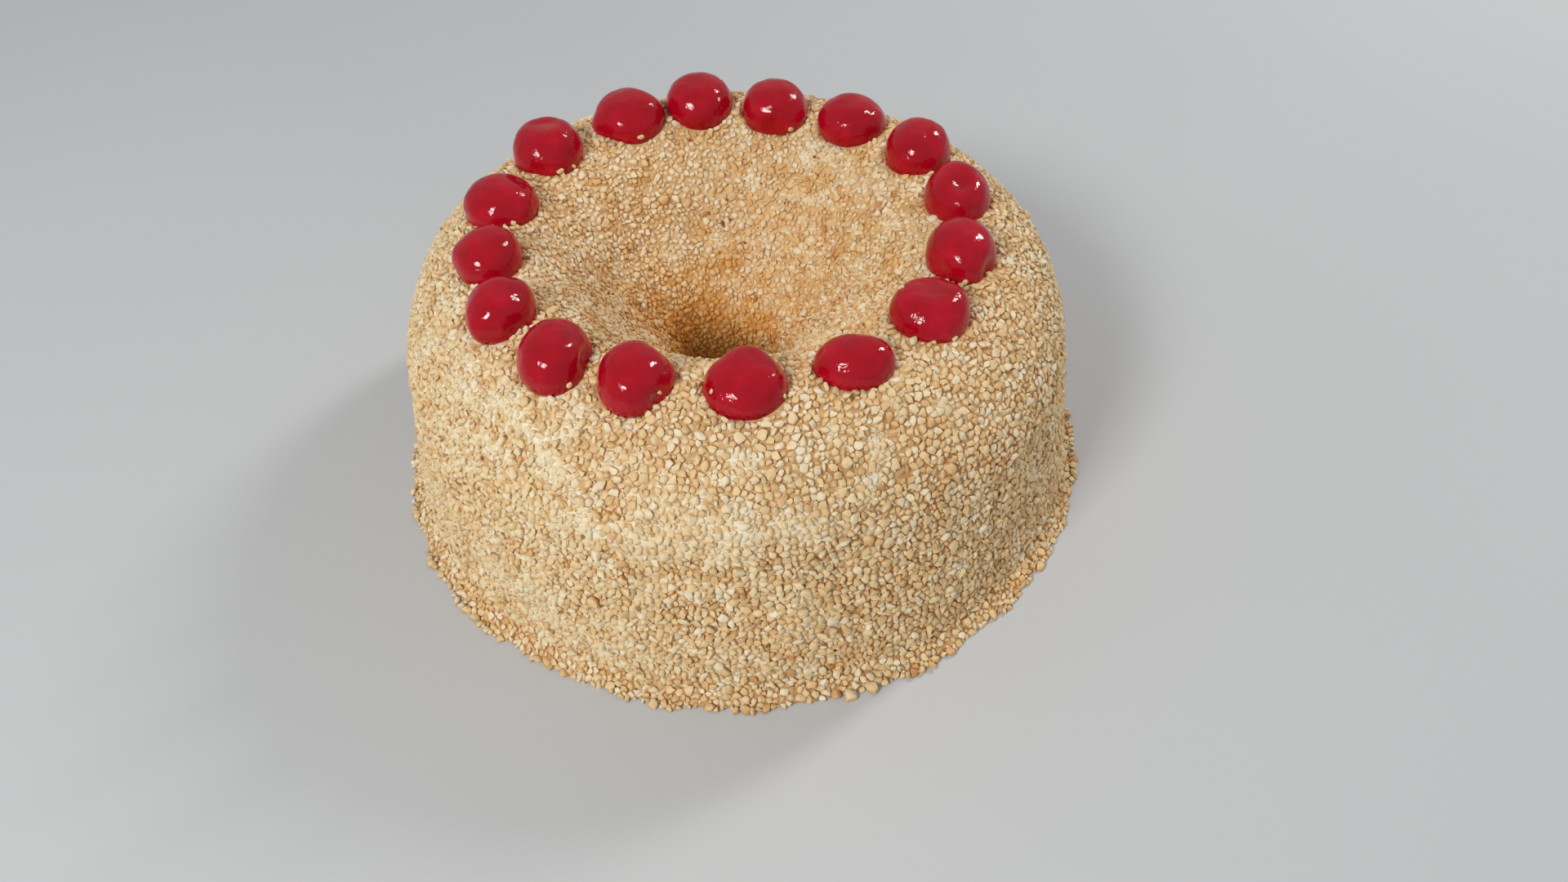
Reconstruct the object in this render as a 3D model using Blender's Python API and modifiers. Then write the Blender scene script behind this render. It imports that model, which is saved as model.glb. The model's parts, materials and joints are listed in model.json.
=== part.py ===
# Angel food cake: a ring cake coated in chopped nuts, with a ring of halved glace cherries
# pressed into its crest. The cake stands on the plane z = 0 with the hole's axis on Z.
# Units are metres. +Z is up, and -Y is the side that is seen first.

from math import cos, pi, radians, sin
from random import Random

import bmesh
import bpy
from mathutils import Euler, Matrix, Vector, noise

# Driving dimensions of the cake
cake_height = 0.0895        # from the base to the crest of the ring
crest_radius = 0.0740       # from the axis to the crest
wall_radius = 0.1078        # the side wall where it meets the shoulder
foot_radius = 0.1140        # the side wall at its foot, as the tube pan is wider there
shoulder_height = 0.0520    # where the wall turns in towards the crest
crease_radius = 0.0380      # where the wide funnel turns into the throat
crease_height = 0.0650
funnel_curve = 2.2          # how late the funnel falls, from the crest to the crease
throat_curve = 1.6          # how late the throat opens, from the neck to the crease
neck_radius = 0.0175        # the tube's hole, open through the base
neck_height = 0.0320
neck_bevel = 0.0015
neck_shift = Vector((-0.0040, 0.0, 0.0))    # the hole stands a little off the middle

# The bank of loose nuts that lies round the foot
skirt_radius = 0.1185
skirt_height = 0.0052

# Chopped nuts on the surface
relief_height = 0.0010
sway_height = 0.0012
sway_size = 0.045
nut_half_sizes = Vector((0.0028, 0.0021, 0.0017))
nut_spacing = 0.0125
nuts_on_surface = 92
nuts_on_foot = 42
nut_sides_jitter = 0.16
nut_free_height = 0.0090    # no single nut on the wall lies lower than this

# Cherries
cherry_ring_radius = 0.0740
cherry_ring_centre = Vector((-0.0010, -0.0005, 0.0))
cherry_base_height = 0.0872
cherry_clearance = 0.0004
cherry_reach = 0.0135       # the widest cherry's half width, with room to spare
pocket_height = 0.0060
pocket_sides = 16
cherry_start_angle = 120.0

turns = 74
seed = 11

# One entry for each cherry, clockwise from the back left. turn is how far it stands from its
# even place in degrees, out its distance from the ring in mm, size its half width, half depth
# and height in mm. A form is a swelling, or with a minus sign a dent, given by the direction
# round the cherry, the angle above its base, the spread in degrees and its height in mm.
cherries = [
    dict(turn=-0.4, out=0.0, size=(12.4, 13.0, 11.9),
         forms=[(0, 52, 26, 0.6), (212, 12, 22, 1.4), (50, 40, 20, -1.1)]),
    dict(turn=2.1, out=0.2, size=(11.8, 13.0, 12.8),
         forms=[(0, 88, 30, -0.4), (200, 45, 30, 0.6)]),
    dict(turn=3.3, out=-3.5, size=(11.6, 12.2, 12.2),
         forms=[(135, 50, 18, 0.2), (265, 16, 14, -1.5), (318, 18, 22, 1.0)]),
    dict(turn=3.0, out=-1.3, size=(11.7, 12.0, 11.5),
         forms=[(180, 30, 35, 0.6), (20, 60, 28, -0.7)]),
    dict(turn=3.0, out=0.0, size=(11.0, 12.5, 13.2),
         forms=[(5, 52, 22, 0.5), (170, 60, 24, -0.6)]),
    dict(turn=3.4, out=-0.2, size=(10.6, 12.6, 12.1),
         forms=[(270, 74, 15, -1.9), (90, 62, 24, 0.8), (270, 40, 24, 0.9)]),
    dict(turn=1.9, out=-2.0, size=(10.7, 12.5, 13.0),
         forms=[(222, 14, 16, -1.6), (318, 14, 16, -2.0), (270, 20, 22, 0.5)]),
    dict(turn=1.1, out=-1.8, size=(11.5, 12.3, 11.1),
         forms=[(90, 76, 22, -1.4), (10, 45, 26, 0.9), (190, 45, 26, 0.8)]),
    dict(turn=-1.3, out=-1.1, size=(11.4, 9.3, 9.5),
         forms=[(0, 48, 30, 1.3), (180, 34, 30, -0.8), (265, 70, 20, 0.6)]),
    dict(turn=-3.1, out=-1.4, size=(11.6, 11.2, 10.2),
         forms=[(85, 44, 22, 1.6), (332, 50, 17, 1.0), (285, 56, 15, -1.1)]),
    dict(turn=-4.5, out=-0.6, size=(10.3, 12.3, 12.0),
         forms=[(50, 36, 22, -1.0), (5, 18, 20, 1.1), (312, 14, 16, -1.6)]),
    dict(turn=-0.5, out=2.6, size=(10.5, 12.6, 12.3),
         forms=[(348, 20, 20, -2.6), (20, 62, 18, -0.9), (100, 40, 28, 0.2)]),
    dict(turn=1.5, out=2.7, size=(10.0, 11.1, 12.0),
         forms=[(45, 30, 24, 1.0), (235, 16, 20, 1.1), (312, 12, 18, -1.0)]),
    dict(turn=3.6, out=0.3, size=(10.0, 11.6, 11.3),
         forms=[(182, 22, 22, 1.2), (40, 60, 26, 0.4)]),
    dict(turn=4.5, out=0.5, size=(11.6, 12.2, 11.3),
         forms=[(40, 56, 18, -1.7), (180, 30, 30, 0.7)]),
    dict(turn=2.3, out=2.3, size=(11.7, 12.9, 13.3),
         forms=[(90, 80, 15, -1.7), (180, 44, 28, 0.3)]),
]


def clear_scene():
    for item in list(bpy.data.objects):
        bpy.data.objects.remove(item)


def new_collection(name):
    collection = bpy.data.collections.new(name)
    bpy.context.scene.collection.children.link(collection)
    return collection


def new_material(name, colour, roughness):
    material = bpy.data.materials.new(name)
    material.use_nodes = True
    shader = material.node_tree.nodes["Principled BSDF"]
    shader.inputs["Base Color"].default_value = (*colour, 1.0)
    shader.inputs["Roughness"].default_value = roughness
    shader.inputs["Metallic"].default_value = 0.0
    return material


def new_object(name, mesh, collection, material=None):
    item = bpy.data.objects.new(name, mesh)
    collection.objects.link(item)
    if material:
        mesh.materials.clear()
        mesh.materials.append(material)
    return item


def applied_mesh(item):
    # The mesh with its modifiers worked in
    graph = bpy.context.evaluated_depsgraph_get()
    graph.update()
    return bpy.data.meshes.new_from_object(item.evaluated_get(graph))


def steps(count):
    # Even shares above 0, up to and with 1
    return [(number + 1) / count for number in range(count)]


def ring_profile():
    # Half section of the ring: crest, shoulder, wall, foot, base, hole and funnel
    points = [(crest_radius, cake_height)]
    shoulder_reach = wall_radius - crest_radius
    shoulder_rise = cake_height - shoulder_height
    for share in steps(8):
        radius = crest_radius + shoulder_reach * sin(share * pi / 2)
        points.append((radius, shoulder_height + shoulder_rise * cos(share * pi / 2)))
    for share in steps(6):
        height = shoulder_height + (skirt_height - shoulder_height) * share
        flare = (foot_radius - wall_radius) * share ** 0.9
        points.append((wall_radius + flare, height))
    points.append(((foot_radius + skirt_radius) / 2, skirt_height * 0.75))
    points.append((skirt_radius, skirt_height * 0.35))
    points.append((skirt_radius - 0.0010, 0.0))
    points.append(((skirt_radius + neck_radius) / 2, 0.0))
    points.append((neck_radius + neck_bevel, 0.0))
    points.append((neck_radius, neck_bevel))
    points.append((neck_radius, neck_height * 0.5))
    points.append((neck_radius, neck_height))
    for share in steps(4):
        radius = neck_radius + (crease_radius - neck_radius) * share ** throat_curve
        points.append((radius, neck_height + (crease_height - neck_height) * share))
    for share in steps(8)[:-1]:
        fall = (cake_height - crease_height) * (1 - share) ** funnel_curve
        points.append((crease_radius + (crest_radius - crease_radius) * share, cake_height - fall))
    return points


def turned_ring(collection):
    points = [Vector((radius, 0.0, height)) for radius, height in ring_profile()]
    links = [(number, (number + 1) % len(points)) for number in range(len(points))]
    mesh = bpy.data.meshes.new("ring_profile")
    mesh.from_pydata(points, links, [])
    item = new_object("ring_profile", mesh, collection)
    screw = item.modifiers.new("turn", "SCREW")
    screw.axis = "Z"
    screw.angle = 2 * pi
    screw.steps = turns
    screw.render_steps = turns
    screw.use_merge_vertices = True
    screw.merge_threshold = 0.00005
    ring = applied_mesh(item)
    bpy.data.objects.remove(item)
    return ring


def add_unevenness(mesh):
    # Nut-sized relief and a slow sway all over, with the base left flat
    draw = Random(seed)
    mesh.update()
    normals = [vertex.normal.copy() for vertex in mesh.vertices]
    for vertex, normal in zip(mesh.vertices, normals):
        place = vertex.co.copy()
        hole_share = 1 - min(1.0, max(0.0, (place.xy.length - neck_radius) / (crest_radius - neck_radius)))
        vertex.co += neck_shift * hole_share
        if place.z < 0.0001:
            continue
        sway = noise.noise(place / sway_size) * sway_height
        relief = draw.uniform(-relief_height, relief_height)
        grip = min(1.0, place.z / 0.006)
        vertex.co += normal * (sway + relief * (1 - 0.8 * hole_share)) * grip
        vertex.co.z = max(vertex.co.z, 0.0008)


def cherry_place(number):
    entry = cherries[number]
    angle = radians(cherry_start_angle - number * 360 / len(cherries) + entry["turn"])
    reach = cherry_ring_radius + entry["out"] / 1000
    return cherry_ring_centre + Vector((reach * cos(angle), reach * sin(angle), cherry_base_height))


def direction_of(around, above):
    # A unit vector from its degrees round Z and above the level
    level = cos(radians(above))
    return Vector((cos(radians(around)) * level, sin(radians(around)) * level, sin(radians(above))))


def cherry_mesh(number):
    # A halved cherry, cut side down: a ball's upper half, squared a little, with its own forms
    entry = cherries[number]
    half_width, half_depth, height = [size / 1000 for size in entry["size"]]
    shape = bmesh.new()
    bmesh.ops.create_uvsphere(shape, u_segments=14, v_segments=8, radius=1.0)
    lower = [vertex for vertex in shape.verts if vertex.co.z < -0.01]
    bmesh.ops.delete(shape, geom=lower, context="VERTS")
    for vertex in shape.verts:
        direction = vertex.co.normalized()
        across = direction.xy.length
        reach = 1.03 * across ** 0.75
        tuck = 1 - 0.05 * max(0.0, 1 - direction.z / 0.25)
        swell = 0.0
        for around, above, spread, rise in entry["forms"]:
            apart = direction.angle(direction_of(around, above)) / radians(spread)
            swell += rise / 1000 * 2.718 ** (-apart * apart)
        scale = reach / max(across, 0.0001) * tuck
        vertex.co = Vector((direction.x * scale * half_width, direction.y * scale * half_depth,
                            max(direction.z, 0.0) ** 0.88 * height))
        vertex.co += direction * swell
        if direction.z < 0.01:
            vertex.co.z = 0.0
    rim = [edge for edge in shape.edges if edge.is_boundary]
    bmesh.ops.holes_fill(shape, edges=rim, sides=0)
    bmesh.ops.recalc_face_normals(shape, faces=shape.faces)
    bmesh.ops.triangulate(shape, faces=shape.faces)
    mesh = bpy.data.meshes.new("cherry")
    shape.to_mesh(mesh)
    shape.free()
    mesh.transform(Matrix.Translation(cherry_place(number)))
    return mesh


def pocket_mesh(number):
    # The hollow that a cherry is pressed into: an upright oval plug, a little wider than the cherry
    half_width, half_depth = [size / 1000 for size in cherries[number]["size"][:2]]
    centre = cherry_place(number)
    reach = 1.0
    for vertex in cherry_mesh(number).vertices:
        if vertex.co.z < centre.z + pocket_height:
            across = vertex.co - centre
            reach = max(reach, Vector((across.x / half_width, across.y / half_depth)).length)
    side_reach = reach / cos(pi / pocket_sides)
    plug_size = Vector((half_width * side_reach, half_depth * side_reach, pocket_height))
    plug_size += Vector((cherry_clearance, cherry_clearance, cherry_clearance))
    shape = bmesh.new()
    bmesh.ops.create_cone(shape, cap_ends=True, segments=pocket_sides, radius1=1.0, radius2=1.0, depth=1.0)
    bmesh.ops.scale(shape, vec=plug_size, verts=shape.verts)
    mesh = bpy.data.meshes.new("pocket")
    shape.to_mesh(mesh)
    shape.free()
    middle_height = (pocket_height - cherry_clearance) / 2
    mesh.transform(Matrix.Translation(centre + Vector((0.0, 0.0, middle_height))))
    return mesh


def nut_mesh(draw, size_share):
    # One chopped nut: a twenty-sided grain with uneven corners
    shape = bmesh.new()
    bmesh.ops.create_icosphere(shape, subdivisions=1, radius=1.0)
    for vertex in shape.verts:
        vertex.co *= 1 + draw.uniform(-nut_sides_jitter, nut_sides_jitter)
        vertex.co *= nut_half_sizes * size_share
    mesh = bpy.data.meshes.new("nut")
    shape.to_mesh(mesh)
    shape.free()
    return mesh


def random_spots(mesh, draw, count):
    # Evenly spread places on the coated surface, clear of the cherries, the foot and the neck
    mesh.calc_loop_triangles()
    triangles = list(mesh.loop_triangles)
    areas = [triangle.area for triangle in triangles]
    places = [cherry_place(number) for number in range(len(cherries))]
    cherry_zone = cherry_reach + nut_half_sizes.x
    low_zone = cherry_base_height - 0.0200
    spots = []
    for triangle in draw.choices(triangles, weights=areas, k=count * 40):
        corners = [mesh.vertices[index].co for index in triangle.vertices]
        first, second = sorted((draw.random(), draw.random()))
        place = corners[0] * first + corners[1] * (second - first) + corners[2] * (1 - second)
        if place.z < nut_free_height or place.xy.length < crease_radius * 0.75:
            continue
        if any((place - spot).length < nut_spacing for spot, normal in spots):
            continue
        if place.z > low_zone and any((place.xy - centre.xy).length < cherry_zone for centre in places):
            continue
        spots.append((place, triangle.normal.copy()))
        if len(spots) == count:
            break
    return spots


def scatter_nuts(mesh, collection):
    draw = Random(seed)
    for place, normal in random_spots(mesh, draw, nuts_on_surface):
        nut = new_object("nut", nut_mesh(draw, draw.uniform(0.85, 1.1)), collection)
        lie = normal.to_track_quat("Z", "Y").to_matrix() @ Euler((0.0, 0.0, draw.uniform(0, pi))).to_matrix()
        nut.data.transform(Matrix.Translation(place + normal * 0.0004) @ lie.to_4x4())
    for number in range(nuts_on_foot):
        angle = 2 * pi * (number + draw.uniform(-0.3, 0.3)) / nuts_on_foot
        reach = skirt_radius + draw.uniform(-0.0012, 0.0004)
        nut = new_object("nut", nut_mesh(draw, draw.uniform(0.75, 0.95)), collection)
        lie = Euler((0.0, 0.0, draw.uniform(0, pi))).to_matrix()
        place = Vector((reach * cos(angle), reach * sin(angle), 0.0024))
        nut.data.transform(Matrix.Translation(place) @ lie.to_4x4())


def join_or_cut(item, operation, collection):
    # One Boolean with a whole collection, worked in, with the collection's objects removed
    tool = item.modifiers.new(operation.lower(), "BOOLEAN")
    tool.operation = operation
    tool.operand_type = "COLLECTION"
    tool.collection = collection
    tool.solver = "MANIFOLD"
    mesh = applied_mesh(item)
    item.modifiers.remove(tool)
    item.data = mesh
    for other in list(collection.objects):
        bpy.data.objects.remove(other)
    bpy.data.collections.remove(collection)


def make_cake(parts, material):
    helpers = new_collection("helpers")
    mesh = turned_ring(helpers)
    add_unevenness(mesh)
    cake = new_object("cake", mesh, parts, material)
    nuts = new_collection("nuts")
    scatter_nuts(mesh, nuts)
    join_or_cut(cake, "UNION", nuts)
    pockets = new_collection("pockets")
    for number in range(len(cherries)):
        new_object("pocket", pocket_mesh(number), pockets)
    join_or_cut(cake, "DIFFERENCE", pockets)
    cake.data.materials.clear()
    cake.data.materials.append(material)
    bpy.data.collections.remove(helpers)


def make_cherries(parts, material):
    for number in range(len(cherries)):
        mesh = cherry_mesh(number)
        mesh.shade_smooth()
        mesh.set_sharp_from_angle(angle=radians(60))
        new_object(f"cherry_{number + 1:02d}", mesh, parts, material)


def main():
    clear_scene()
    parts = new_collection("angel_food_cake")
    nut_coating = new_material("chopped_nut_coating", (0.76, 0.59, 0.36), 0.6)
    cherry_red = new_material("glace_cherry_red", (0.42, 0.012, 0.022), 0.14)
    make_cake(parts, nut_coating)
    make_cherries(parts, cherry_red)


main()
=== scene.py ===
import json
from math import cos, pi, radians, sin
from random import Random

import bmesh
import bpy
from mathutils import Matrix, Quaternion, Vector, noise

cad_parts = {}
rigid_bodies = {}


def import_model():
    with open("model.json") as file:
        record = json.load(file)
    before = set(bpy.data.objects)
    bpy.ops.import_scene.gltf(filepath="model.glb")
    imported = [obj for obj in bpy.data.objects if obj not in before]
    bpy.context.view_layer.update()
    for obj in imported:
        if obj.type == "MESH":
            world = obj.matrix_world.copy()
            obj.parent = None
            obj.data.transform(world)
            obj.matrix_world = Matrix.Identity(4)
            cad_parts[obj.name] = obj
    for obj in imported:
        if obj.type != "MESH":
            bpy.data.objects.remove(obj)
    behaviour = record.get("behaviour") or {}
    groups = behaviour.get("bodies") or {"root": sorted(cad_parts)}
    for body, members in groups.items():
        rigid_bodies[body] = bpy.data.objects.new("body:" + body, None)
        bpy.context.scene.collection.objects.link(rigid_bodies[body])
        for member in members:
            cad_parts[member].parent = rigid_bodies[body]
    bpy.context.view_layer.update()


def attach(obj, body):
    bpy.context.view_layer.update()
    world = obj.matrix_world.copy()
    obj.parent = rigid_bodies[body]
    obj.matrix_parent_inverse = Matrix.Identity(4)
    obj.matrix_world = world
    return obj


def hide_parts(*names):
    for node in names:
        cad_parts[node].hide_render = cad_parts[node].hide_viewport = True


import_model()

mm = 0.001


# Small helpers

def makeObject(name, mesh, finish=None):
    item = bpy.data.objects.new(name, mesh)
    bpy.context.scene.collection.objects.link(item)
    if finish:
        mesh.materials.clear()
        mesh.materials.append(finish)
    return item


def meshFrom(shape, name):
    mesh = bpy.data.meshes.new(name)
    shape.to_mesh(mesh)
    shape.free()
    mesh.shade_smooth()
    return mesh


def mark(mesh, name, values):
    # An attribute with a value for each point
    marks = mesh.attributes.get(name) or mesh.attributes.new(name, "FLOAT", "POINT")
    marks.data.foreach_set("value", values)


def evenSteps(count):
    return [(number + 1) / count for number in range(count)]  # shares above 0, up to and with 1


def smoothShare(value, low, high):
    share = min(1.0, max(0.0, (value - low) / (high - low)))
    return share * share * (3 - 2 * share)


def bell(squares):
    return 2.718 ** -squares  # 1 in the middle, falling off with the squared distance


def linear(red, green, blue):
    channels = []
    for value in (red, green, blue):
        value /= 255
        channels.append(value / 12.92 if value <= 0.04045 else ((value + 0.055) / 1.055) ** 2.4)
    return (*channels, 1.0)


# The ring's driving sizes, the same as its solid's

cakeLook = {
    "height": 89.5 * mm,
    "crestRadius": 74.0 * mm,
    "wallRadius": 107.8 * mm,
    "footRadius": 114.0 * mm,
    "shoulderHeight": 52.0 * mm,
    "creaseRadius": 38.0 * mm,
    "creaseHeight": 65.0 * mm,
    "neckRadius": 17.5 * mm,
    "neckHeight": 32.0 * mm,
    "neckBevel": 1.5 * mm,
    "neckShift": Vector((-4.0 * mm, 0, 0)),
    "skirtRadius": 117.4 * mm,
    "skirtHeight": 5.0 * mm,
    "edgeHeight": 0.5 * mm,
    "wallPower": 0.9,       # how the wall flares, and how the neck and the funnel curve
    "neckPower": 1.6,
    "funnelPower": 2.2,
    "looseRadius": 118.9 * mm,      # how far the loose nuts lie round the foot, give or take looseSway
    "looseSway": 1.9 * mm,
    "swayHeight": 1.2 * mm,
    "swaySize": 45 * mm,
    "crumbHeight": 0.35 * mm,
    "crumbSize": 3.0 * mm,
    "underNuts": 1.0 * mm,      # how far the icing lies below the nuts' mean height
    "aroundSteps": 300,
    "looseSteps": 240,
}


# Materials: procedural, on object coordinates and the pieces' own attributes

class Nodes:
    # Short calls to add and join the nodes of a tree
    def __init__(self, tree):
        self.tree = tree

    def add(self, kind, inputs=None, **settings):
        node = self.tree.nodes.new(kind)
        for name, value in settings.items():
            setattr(node, name, value)
        for name, value in (inputs or {}).items():
            self.join(value, node.inputs[name])
        return node

    def join(self, value, socket):
        if isinstance(value, bpy.types.NodeSocket):
            self.tree.links.new(value, socket)
        else:
            socket.default_value = value

    def maths(self, operation, first, second=0.0):
        return self.add("ShaderNodeMath", {0: first, 1: second}, operation=operation).outputs[0]


class Finish(Nodes):
    # A material whose values come from noise and from the pieces' attributes
    def __init__(self, name):
        self.material = bpy.data.materials.new(name)
        self.material.use_nodes = True
        super().__init__(self.material.node_tree)
        self.shader = self.tree.nodes["Principled BSDF"]
        self.place = self.add("ShaderNodeTexCoord").outputs["Object"]

    def noise(self, size, detail=3.0, roughness=0.55, distortion=0.0):
        inputs = {"Vector": self.place, "Scale": 1 / size, "Detail": detail, "Roughness": roughness,
                  "Distortion": distortion}
        return self.add("ShaderNodeTexNoise", inputs).outputs["Fac"]

    def attribute(self, name):
        return self.add("ShaderNodeAttribute", attribute_name=name).outputs["Fac"]

    def spread(self, value, low, high, outLow=0.0, outHigh=1.0):
        inputs = {"Value": value, "From Min": low, "From Max": high, "To Min": outLow, "To Max": outHigh}
        return self.add("ShaderNodeMapRange", inputs, interpolation_type="SMOOTHSTEP").outputs["Result"]

    def blend(self, share, first, second, mode="MIX"):
        inputs = {0: share, 6: first, 7: second}
        return self.add("ShaderNodeMix", inputs, data_type="RGBA", blend_type=mode).outputs[2]

    def ramp(self, value, stops):
        node = self.add("ShaderNodeValToRGB", {"Fac": value})
        steps = node.color_ramp.elements
        while len(steps) < len(stops):
            steps.new(0.5)
        for step, (place, colour) in zip(steps, stops):
            step.position = place
            step.color = colour
        return node.outputs["Color"]

    def bump(self, height, depth, strength=1.0):
        node = self.add("ShaderNodeBump", {"Height": height, "Distance": depth, "Strength": strength})
        self.join(node.outputs["Normal"], self.shader.inputs["Normal"])

    def set(self, **values):
        for name, value in values.items():
            self.join(value, self.shader.inputs[name.replace("_", " ")])


nutLook = {
    "milky": linear(245, 230, 199),
    "cream": linear(242, 224, 187),
    "pale": linear(239, 214, 168),
    "straw": linear(236, 205, 152),
    "golden": linear(231, 194, 138),
    "tan": linear(221, 178, 120),
    "toasted": linear(200, 142, 84),
    "toastedShare": 0.004,
    # Painted shade: the warm, darker colour the low sides of the nuts take between their neighbours
    "lowSideShade": linear(200, 147, 84),
    "smear": linear(236, 219, 181),
    "icing": linear(245, 237, 217),
    # Painted shade in the gaps between the nuts, from dark to pale
    "gapShadeDark": linear(168, 110, 54),
    "gapShadeGolden": linear(203, 152, 90),
    "gapShadePale": linear(228, 192, 140),
    # Painted amber shade deep in the neck of the hole
    "neckShade": linear(248, 220, 168),
    "amberShift": (8.0 * mm, -2.0 * mm, 0.0),       # the amber lies more on the neck's back left
    "moistTint": linear(246, 220, 172),
    "speck": linear(150, 86, 44),
    "speckShare": 0.045,
    "brown": linear(150, 84, 46),
}


def neckShare(finish):
    # 0 on the ring, rising to 1 in the neck, where the nuts and icing take a painted amber shade
    shifted = finish.add("ShaderNodeVectorMath", {0: finish.place, 1: nutLook["amberShift"]})
    parts = finish.add("ShaderNodeSeparateXYZ", {0: shifted.outputs[0]}).outputs
    squares = [finish.maths("MULTIPLY", parts[axis], parts[axis]) for axis in "XY"]
    radius = finish.maths("SQRT", finish.maths("ADD", squares[0], squares[1]))
    uneven = finish.spread(finish.noise(7 * mm, 5.0, 0.7), 0.3, 0.7, -9 * mm, 9 * mm)
    return finish.spread(finish.maths("ADD", radius, uneven), 14 * mm, 31 * mm, 1.0, 0.0)


def stained(finish, colour):
    # Moist golden blotches in the funnel, a painted amber shade in the neck, and brown crumbs
    moist = finish.spread(finish.noise(9 * mm, 5.0, 0.75), 0.46, 0.62)
    funnelShare = finish.spread(finish.attribute("fineShare"), 0.6, 1.0, 0.0, 0.55)
    blotches = finish.maths("MULTIPLY", moist, funnelShare)
    colour = finish.blend(blotches, colour, nutLook["moistTint"], "MULTIPLY")
    # Painted amber shade, deepest in the neck
    colour = finish.blend(neckShare(finish), colour, nutLook["neckShade"], "MULTIPLY")
    crumbs = finish.spread(finish.noise(1.5 * mm, 2.0), 0.3, 0.7, -0.4, 0.4)
    brown = finish.maths("ADD", finish.attribute("brownShare"), crumbs)
    return finish.blend(finish.spread(brown, 0.50, 0.62), colour, nutLook["brown"])


def smearAt(finish, size):
    # How strongly icing smears over what lies there, with an uneven edge
    uneven = finish.spread(finish.noise(size), 0.3, 0.7, -0.2, 0.2)
    return finish.maths("ADD", finish.attribute("creamShare"), uneven)


def nutFinish(name, last, lastShare):
    # Chopped nut: its colour from the tone attribute, with a painted warm shade low down between its
    # neighbours
    finish = Finish(name)
    stops = [
        (0.0, nutLook["milky"]), (0.10, nutLook["cream"]), (0.30, nutLook["pale"]),
        (0.56, nutLook["straw"]), (0.84, nutLook["golden"]), (1.0, nutLook["tan"]),
    ]
    tone = finish.attribute("tone")
    patches = finish.spread(finish.noise(9 * mm, 4.0, 0.75), 0.32, 0.68, -0.24, 0.24)
    paler = finish.maths("MULTIPLY", finish.attribute("fineShare"), 0.22)
    colour = finish.ramp(finish.maths("SUBTRACT", finish.maths("ADD", tone, patches), paler), stops)
    colour = finish.blend(finish.spread(tone, 0.999 - lastShare, 1 - lastShare), colour, last)
    grain = finish.spread(finish.noise(0.9 * mm, 3.0), 0.3, 0.75)
    colour = finish.blend(finish.maths("MULTIPLY", grain, 0.25), colour, nutLook["straw"])
    # Painted shade: each nut's low sides go warm and darker, most where little icing shows
    low = finish.spread(finish.attribute("rise"), 0.35, 0.85, 1.0, 0.0)
    dry = finish.spread(finish.attribute("creamShare"), 0.2, 0.6, 0.66, 0.25)
    colour = finish.blend(finish.maths("MULTIPLY", low, dry), colour, nutLook["lowSideShade"])
    smear = finish.spread(smearAt(finish, 3.2 * mm), 0.38, 0.85, 0.0, 0.7)
    colour = stained(finish, finish.blend(smear, colour, nutLook["smear"]))
    roughness = finish.spread(finish.noise(1.4 * mm), 0.3, 0.7, 0.46, 0.62)
    finish.set(Base_Color=colour, Roughness=roughness)
    finish.set(Subsurface_Weight=0.12, Subsurface_Scale=0.8 * mm, Subsurface_Radius=(1.0, 0.6, 0.3))
    finish.bump(finish.noise(1.1 * mm, 4.0, 0.6), 0.35 * mm, 0.7)
    return finish.material


def icingFinish(name):
    # Cream icing under the nuts: white patches where it shows, painted golden-brown shade in the gaps
    # between the nuts
    finish = Finish(name)
    crumbs = finish.noise(1.6 * mm, 4.0, 0.62)
    # Painted shade: the golden-brown ramp that shows in the gaps between the nuts
    stops = [(0.30, nutLook["gapShadeDark"]), (0.5, nutLook["gapShadeGolden"]), (0.72, nutLook["gapShadePale"])]
    strawShare = finish.maths("MULTIPLY", finish.attribute("fineShare"), 0.6)
    colour = finish.blend(strawShare, finish.ramp(crumbs, stops), nutLook["straw"])
    smear = smearAt(finish, 5.5 * mm)
    colour = finish.blend(finish.spread(smear, 0.30, 0.52), colour, nutLook["smear"])
    dabs = finish.spread(finish.noise(2.4 * mm), 0.48, 0.58)
    dabs = finish.maths("MULTIPLY", finish.spread(smear, 0.34, 0.55), dabs)
    colour = stained(finish, finish.blend(dabs, colour, nutLook["icing"]))
    finish.set(Base_Color=colour, Roughness=0.5)
    finish.bump(crumbs, 0.5 * mm, 0.8)
    return finish.material


def cherryFinish(name):
    # Candied cherry: deep red and glossy, and a little clear
    finish = Finish(name)
    stops = [(0.3, cherryLook["deepRed"]), (0.55, cherryLook["midRed"]), (0.8, cherryLook["lightRed"])]
    colour = finish.ramp(finish.noise(7 * mm, 2.0), stops)
    roughness = finish.spread(finish.noise(4 * mm, 2.0), 0.3, 0.7, 0.03, 0.08)
    finish.set(Base_Color=colour, Roughness=roughness, IOR=1.40)
    finish.set(Subsurface_Weight=0.45, Subsurface_Scale=4.0 * mm, Subsurface_Radius=(1.0, 0.08, 0.07))
    # Shallow dents, thin creases here and there and a fine grain
    dents = finish.noise(2.8 * mm, 3.0, 0.5, 0.6)
    crease = finish.maths("ABSOLUTE", finish.maths("SUBTRACT", finish.noise(8 * mm, 1.0, 0.5, 1.6), 0.5))
    crease = finish.spread(crease, 0.0, 0.06, -1.0, 0.0)
    crease = finish.maths("MULTIPLY", crease, finish.spread(finish.noise(6 * mm, 1.0), 0.46, 0.56))
    relief = finish.maths("ADD", dents, finish.maths("MULTIPLY", crease, 0.14))
    relief = finish.maths("ADD", relief, finish.maths("MULTIPLY", finish.noise(0.7 * mm, 2.0), 0.12))
    finish.bump(relief, 0.30 * mm, 0.7)
    return finish.material


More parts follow.
